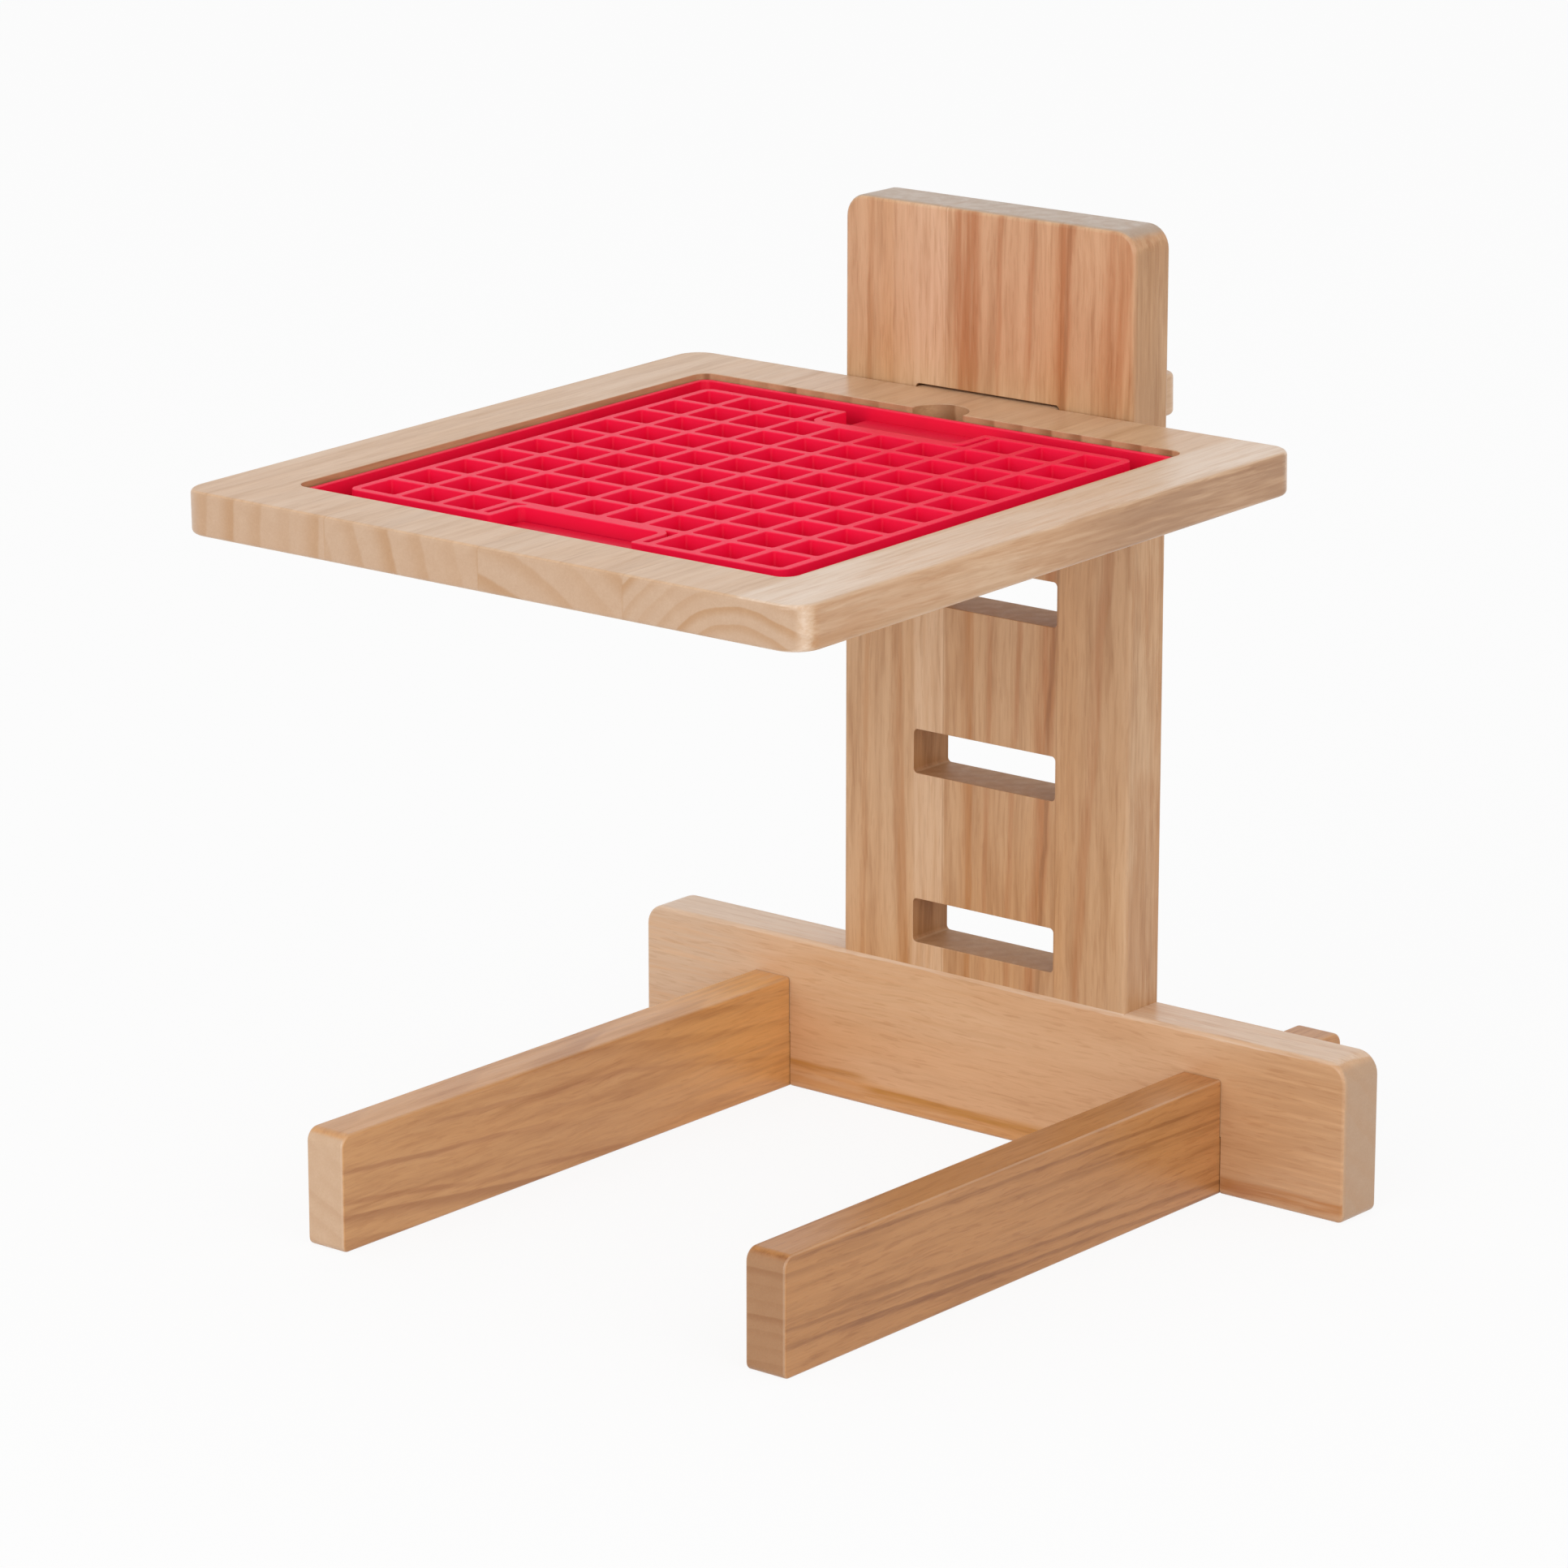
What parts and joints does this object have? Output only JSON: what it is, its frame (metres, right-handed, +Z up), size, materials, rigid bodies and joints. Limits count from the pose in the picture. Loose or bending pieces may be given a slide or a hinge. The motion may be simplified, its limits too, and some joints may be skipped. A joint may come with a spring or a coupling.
{
  "type": "pet feeding stand",
  "caption": "Knock-down wooden pet feeding stand: slotted upright on a crossbar with lapped legs, and a cantilevered tray whose tongue sets its height, holding a square pocketed lick mat.",
  "frame": {"origin": "on the floor, at the middle of the crossbar's underside", "axes": "+X along the crossbar to the right as seen from the front, -Y to the front where the tray reaches out, +Z up"},
  "size_m": [0.3006, 0.3243, 0.3204],
  "materials": {
    "tan_wood": "planed and sanded, bare or thinly oiled",
    "warm_wood": "planed and sanded, bare or thinly oiled",
    "pale_wood": "edge-glued staves, sanded, bare or thinly oiled",
    "dowel_wood": "plain turned dowel",
    "dish_plastic": "moulded, soft sheen",
    "pad_rubber": "moulded soft rubber, matte"
  },
  "bodies": {
    "legs": {"leg_left": "warm_wood", "leg_right": "warm_wood"},
    "frame": {"crossbar": "tan_wood", "upright": "tan_wood", "dowel_1": "dowel_wood", "dowel_2": "dowel_wood", "dowel_3": "dowel_wood", "dowel_4": "dowel_wood"},
    "tray": {"tray_board": "pale_wood"},
    "mat": {"mat_dish": "dish_plastic", "mat_pad": "pad_rubber"}
  },
  "joints": [
    {"name": "frame_lift", "type": "slide", "parent": "legs", "child": "frame", "axis": [0, 0, 1], "range_m": [0, 0.045]},
    {"name": "tray_slide", "type": "slide", "parent": "frame", "child": "tray", "axis": [0, -0.9998, -0.0206], "range_m": [0, 0.075]},
    {"name": "mat_lift", "type": "slide", "parent": "tray", "child": "mat", "axis": [0, -0.0206, 0.9998], "range_m": [0, 0.018]}
  ]
}
